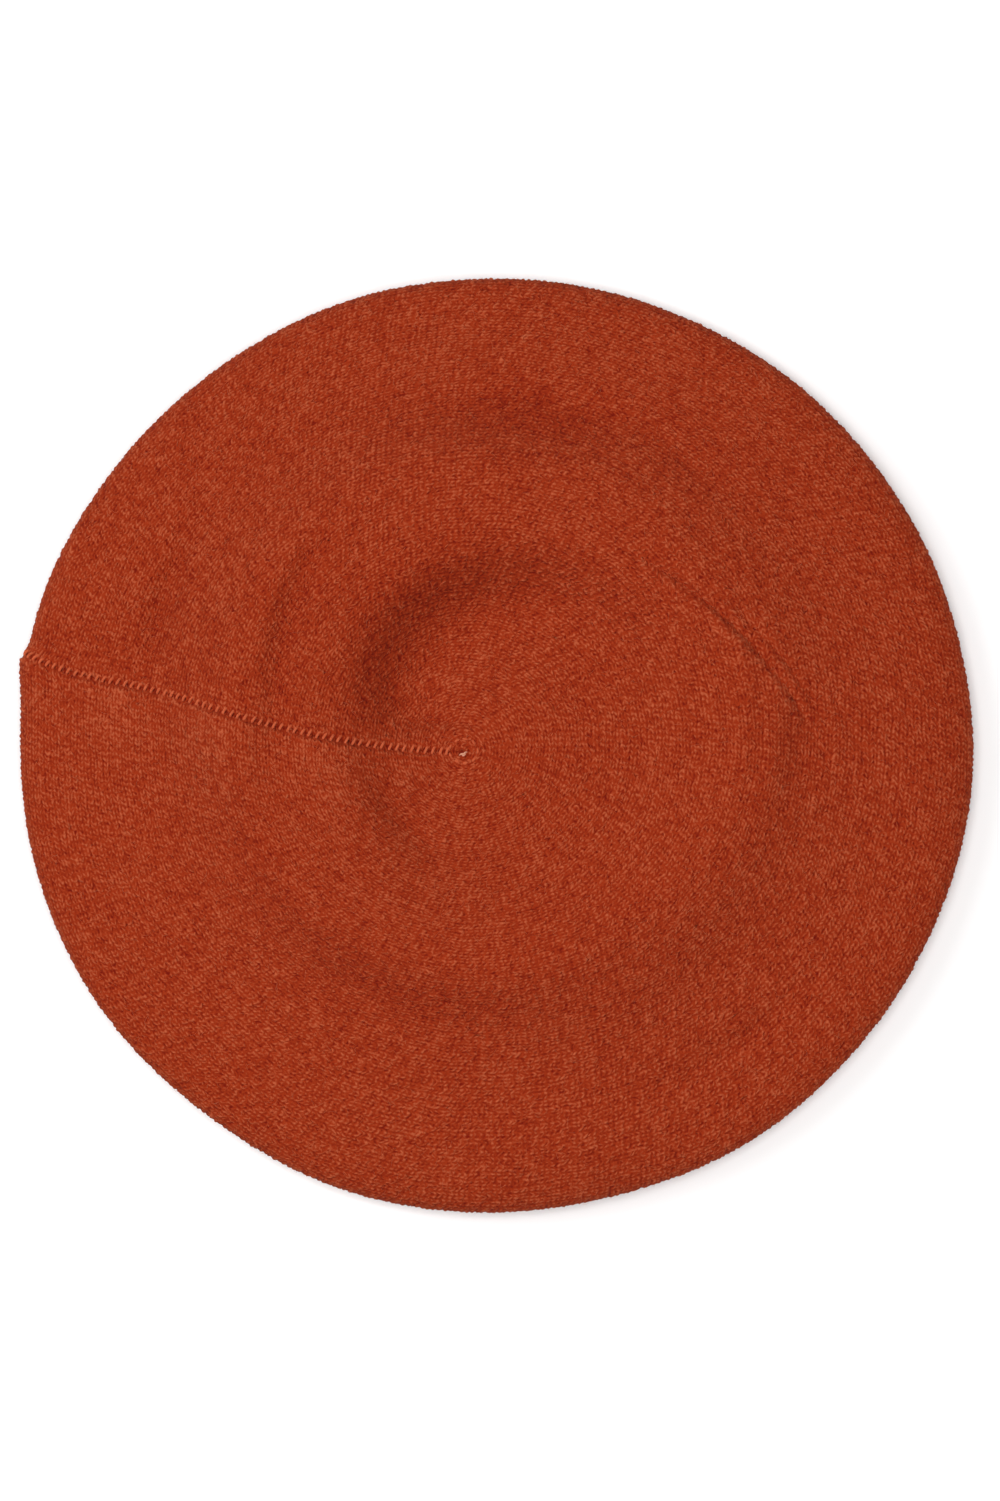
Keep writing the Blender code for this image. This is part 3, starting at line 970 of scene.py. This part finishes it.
def hem_stitches(material):
    """Running stitches that hold the band's inner leaf."""
    count = 180
    height = (hem_low.z + hem_high.z) / 2
    paths = []
    for k in range(count):
        t = np.linspace(0, 1, 7)
        angle = 2 * pi * (k + 0.62 * t) / count
        r = hem_high.x + 0.0002 - 0.0006 * np.sin(pi * t) ** 0.6
        z = height + 0.0002 * (t - 0.5)
        paths.append(round_opening(r, angle, z))
    thread_piece("hem_stitches", paths, 0.00034, material, ["band_hem_stitch"], 6)


def elastic(material, cords=7):
    """The woven tape in the channel: rubber cords standing as fine ribs, the ends butted at the back."""
    middle = tape_high.x - 0.0005
    half = 0.00045
    height = np.linspace(tape_low.z, tape_high.z, cords * 4 + 1)
    rib = 0.00012 * np.cos(2 * pi * cords * (height - tape_low.z) / (tape_high.z - tape_low.z))
    loop_r = np.concatenate([middle + half - rib, (middle - half + rib)[::-1]])
    loop_z = np.concatenate([height, height[::-1]])
    count, gap = 400, 0.005
    angle = pi + gap + (2 * pi - 2 * gap) * np.arange(count) / (count - 1)
    crimp = 0.00008 * np.sin(angle * 330)
    n = len(loop_r)
    r = loop_r[None] + crimp[:, None]
    points = round_opening(r, angle[:, None], loop_z).reshape(-1, 3)
    ids = np.arange(count * n).reshape(count, n)
    a, b = ids[:-1], ids[1:]
    quads = np.stack([a, np.roll(a, -1, 1), np.roll(b, -1, 1), b], -1).reshape(-1, 4)
    caps = []
    for ring, flip in ((ids[0], False), (ids[-1], True)):
        for k in range(n // 2 - 1):
            face = [ring[k], ring[n - 1 - k], ring[n - 2 - k], ring[k + 1]]
            caps.append(face[::-1] if flip else face)
    faces = [quads, np.array(caps)]
    new_object("elastic_band", points, faces, material, "beret", ["elastic_tape"])


def zigzag(material, strokes=8):
    """The zigzag that joins the tape's ends."""
    x = tape_low.x + 0.0016
    t = np.linspace(0, strokes, strokes * 8 + 1)
    sway = 0.0022 * (1 - 2 * np.abs((t % 2) - 1))
    z = tape_low.z + 0.001 + (tape_high.z - tape_low.z - 0.002) * t / strokes
    path = np.stack([x + 0 * t, SETTLE + sway, z], 1)
    thread_piece("zigzag_stitch", [path], 0.00022, material, ["elastic_joint_stitch"])


# ---------------------------------------------------------------- the label


def label_section(drop):
    """(distance from the hinge, height) of points along one layer of the label and back along the other."""
    part = np.linspace(0, 1, 60)
    layers = []
    for side, s in ((1, part), (-1, part[::-1])):
        bulge = 0.00012 + 0.00022 * np.sin(pi * np.minimum(s * 1.02, 1)) ** 0.6
        layers.append(np.stack([side * bulge, -drop * s * 0.985 - 0.0001], 1))
    return np.concatenate(layers)


def care_label(material):
    """A folded strip: two layers that part a little above the fold, blank, with turned side edges."""
    hinge = Vector(frame["joints"][0]["pos_m"])
    width, drop = label_high.y - label_low.y, label_high.z - label_low.z
    path = label_section(drop)
    out = beside(path)
    across = np.linspace(-0.5, 0.5, 33)
    n, m = len(path), len(across)
    half = LABEL_LAYER / 2 + 0.00005 * (np.abs(across) > 0.47)[None]
    ripple = 0.00012 * np.sin(5.5 * across + 0.5)[None] * (-path[:, 1:] / drop)

    def face(sign):
        return np.stack([
            hinge.x + (path[:, :1] + sign * out[:, :1] * half) + ripple,
            np.broadcast_to(hinge.y + across * width, (n, m)),
            hinge.z + (path[:, 1:] + sign * out[:, 1:] * half),
        ], -1).reshape(-1, 3)

    front = np.arange(n * m).reshape(n, m)
    back = front + n * m
    faces = []
    for ids, flip in ((front, True), (back, False)):
        f = np.stack([ids[:-1, :-1], ids[:-1, 1:], ids[1:, 1:], ids[1:, :-1]], -1).reshape(-1, 4)
        faces.append(f[:, ::-1] if flip else f)
    border = np.concatenate([front[0], front[1:, -1], front[-1, :-1][::-1], front[1:-1, 0][::-1]])
    other = border + n * m
    faces.append(np.stack([border, np.roll(border, -1), np.roll(other, -1), other], 1))
    points = np.concatenate([face(1), face(-1)])
    piece = new_object("woven_label", points, faces, material, "label", ["care_label"])


def label_stitches(material, count=11):
    """Short stitches along the label's top edge."""
    low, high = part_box("care_label_stitch")
    x, z = (low.x + high.x) / 2, (low.z + high.z) / 2
    paths = []
    for k in range(count):
        t = np.linspace(0, 1, 7)
        y = low.y + (high.y - low.y) * (k + 0.1 + 0.75 * t) / count
        paths.append(np.stack([x - 0.0003 + 0.0003 * np.sin(pi * t), y, z + 0 * t], 1))
    thread_piece("label_stitches", paths, 0.0002, material, ["care_label_stitch"])


# ---------------------------------------------------------------- floor, light and camera


def floor():
    """Plain white paper."""
    paper = Nodes("white_paper").shaded({
        "Base Color": (0.97, 0.97, 0.97, 1),
        "Roughness": 0.9,
        "Specular IOR Level": 0.1,
    })
    bpy.ops.mesh.primitive_plane_add(size=12, location=(0, 0, cad_low.z - 0.0002))
    plane = bpy.context.object
    plane.name = "floor"
    plane.data.materials.append(paper)


LIGHTS = (  # name, place, size, power
    ("key", (-1.2, 0.44, 1.2), 1.1, 11.5),
    ("fill", (1.2, -0.5, 1.0), 1.2, 3.0),
    ("top", (-0.1, 0.0, 2.2), 1.3, 35.8),
)
WORLD_STRENGTH = 0.24
RIM_IN_FRAME = 0.952  # the beret's rim fills this share of the frame's width
FRAME_TALL = 1.501  # height of the frame over its width


def area_light(name, place, size, power):
    """A round lamp that aims at the origin."""
    data = bpy.data.lights.new(name, "AREA")
    data.shape = "DISK"
    data.size = size
    data.energy = power
    lamp = bpy.data.objects.new(name, data)
    lamp.location = place
    lamp.rotation_mode = "QUATERNION"
    lamp.rotation_quaternion = (Vector() - Vector(place)).to_track_quat("-Z", "Y")
    bpy.context.scene.collection.objects.link(lamp)


def light_and_camera():
    """Soft light from above, stronger from the back left, and a camera that looks straight down."""
    scene = bpy.context.scene
    world = bpy.data.worlds.new("studio")
    world.use_nodes = True
    background = world.node_tree.nodes["Background"]
    background.inputs["Color"].default_value = (1.0, 0.985, 0.97, 1)
    background.inputs["Strength"].default_value = WORLD_STRENGTH
    scene.world = world
    for light in LIGHTS:
        area_light(*light)
    scene.view_settings.view_transform = "Standard"
    scene.view_settings.look = "None"

    tall = FRAME_TALL * (body_high.x - body_low.x) / RIM_IN_FRAME
    data = bpy.data.cameras.new("camera")
    data.lens = 120
    data.sensor_width = 36
    data.clip_start, data.clip_end = 0.05, 20
    camera = bpy.data.objects.new("camera", data)
    camera.location = (0.0014, -0.0017, RIM_HEIGHT + tall * data.lens / data.sensor_width)
    scene.collection.objects.link(camera)
    scene.camera = camera


# ---------------------------------------------------------------- putting it together


def main():
    floor()
    light_and_camera()
    knit = wool("rust_wool_knit")
    yarn = wool("rust_linking_yarn", brightness=1.2, pale=0.22)
    # The knot yarn is coloured paler than the wool: a painted highlight where the small knot catches the
    # light.
    knot = loose_fibre("knot_yarn_painted_highlight", (0.66, 0.30, 0.19, 1))
    tape = woven("woven_elastic_tape", (0.66, 0.64, 0.60, 1), (0.42, 0.40, 0.37, 1), 900.0, 0.55)
    satin = woven("woven_label_satin", (0.80, 0.73, 0.61, 1), (0.60, 0.52, 0.41, 1), 1500.0, 0.45)
    knitted_body(knit)
    # The loose fibres are coloured lighter than the knit: a painted highlight for the light they catch.
    surface_fuzz(loose_fibre("rust_loose_fibre", (0.60, 0.165, 0.070, 1)))
    seam_stitches(yarn)
    gather_stitches(yarn)
    centre_knot(knot)
    headband(knit)
    band_stitches(yarn)
    hem_stitches(yarn)
    elastic(tape)
    zigzag(tape)
    care_label(satin)
    label_stitches(yarn)


main()
